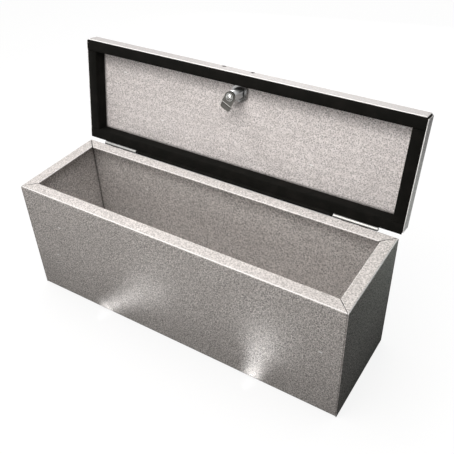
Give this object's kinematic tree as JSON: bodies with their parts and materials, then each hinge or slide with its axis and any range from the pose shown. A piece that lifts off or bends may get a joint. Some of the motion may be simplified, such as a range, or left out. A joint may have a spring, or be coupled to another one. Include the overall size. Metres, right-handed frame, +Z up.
{
  "type": "trailer drawbar box",
  "caption": "Galvanised steel drawbar storage box with a hemmed rim and a hinged, foam-sealed lid that locks with a cam lock.",
  "frame": {"origin": "middle of the base's underside", "axes": "+X along the box's length, to the right as seen from the front; +Y to the rear, where the hinges are; +Z up"},
  "size_m": [0.606, 0.2409, 0.4003],
  "materials": {
    "galvanised_sheet": "spangled zinc coating, satin",
    "zinc_plate": "bright zinc plating",
    "foam_seal": "matt closed-cell foam rubber",
    "lock_chrome": "polished plating"
  },
  "bodies": {
    "box": {"body_wrap": "galvanised_sheet", "left_end_panel": "galvanised_sheet", "right_end_panel": "galvanised_sheet", "left_box_hinge_leaf": "zinc_plate", "right_box_hinge_leaf": "zinc_plate", "left_hinge_pin": "zinc_plate", "right_hinge_pin": "zinc_plate", "box_hinge_rivet_1": "zinc_plate", "box_hinge_rivet_2": "zinc_plate", "box_hinge_rivet_3": "zinc_plate", "box_hinge_rivet_4": "zinc_plate"},
    "lid": {"lid_pan": "galvanised_sheet", "seal_front": "foam_seal", "seal_rear": "foam_seal", "seal_left": "foam_seal", "seal_right": "foam_seal", "hinge_gap_seal": "foam_seal", "left_lid_hinge_leaf": "zinc_plate", "right_lid_hinge_leaf": "zinc_plate", "lid_hinge_rivet_1": "zinc_plate", "lid_hinge_rivet_2": "zinc_plate", "lid_hinge_rivet_3": "zinc_plate", "lid_hinge_rivet_4": "zinc_plate", "lock_body": "lock_chrome", "lock_nut": "lock_chrome"},
    "lock_rotor": {"lock_plug": "lock_chrome", "lock_cam": "lock_chrome", "cam_washer": "lock_chrome", "cam_screw": "lock_chrome"}
  },
  "joints": [
    {"name": "lid_hinge", "type": "hinge", "parent": "box", "child": "lid", "pos_m": [0, 0.0934, 0.22], "axis": [-1, 0, 0], "range_deg": [-100, 78]},
    {"name": "lock_turn", "type": "hinge", "parent": "lid", "child": "lock_rotor", "pos_m": [0, 0.11891, 0.36467], "axis": [0, 0.9848, -0.1736], "range_deg": [-25, 155]}
  ]
}
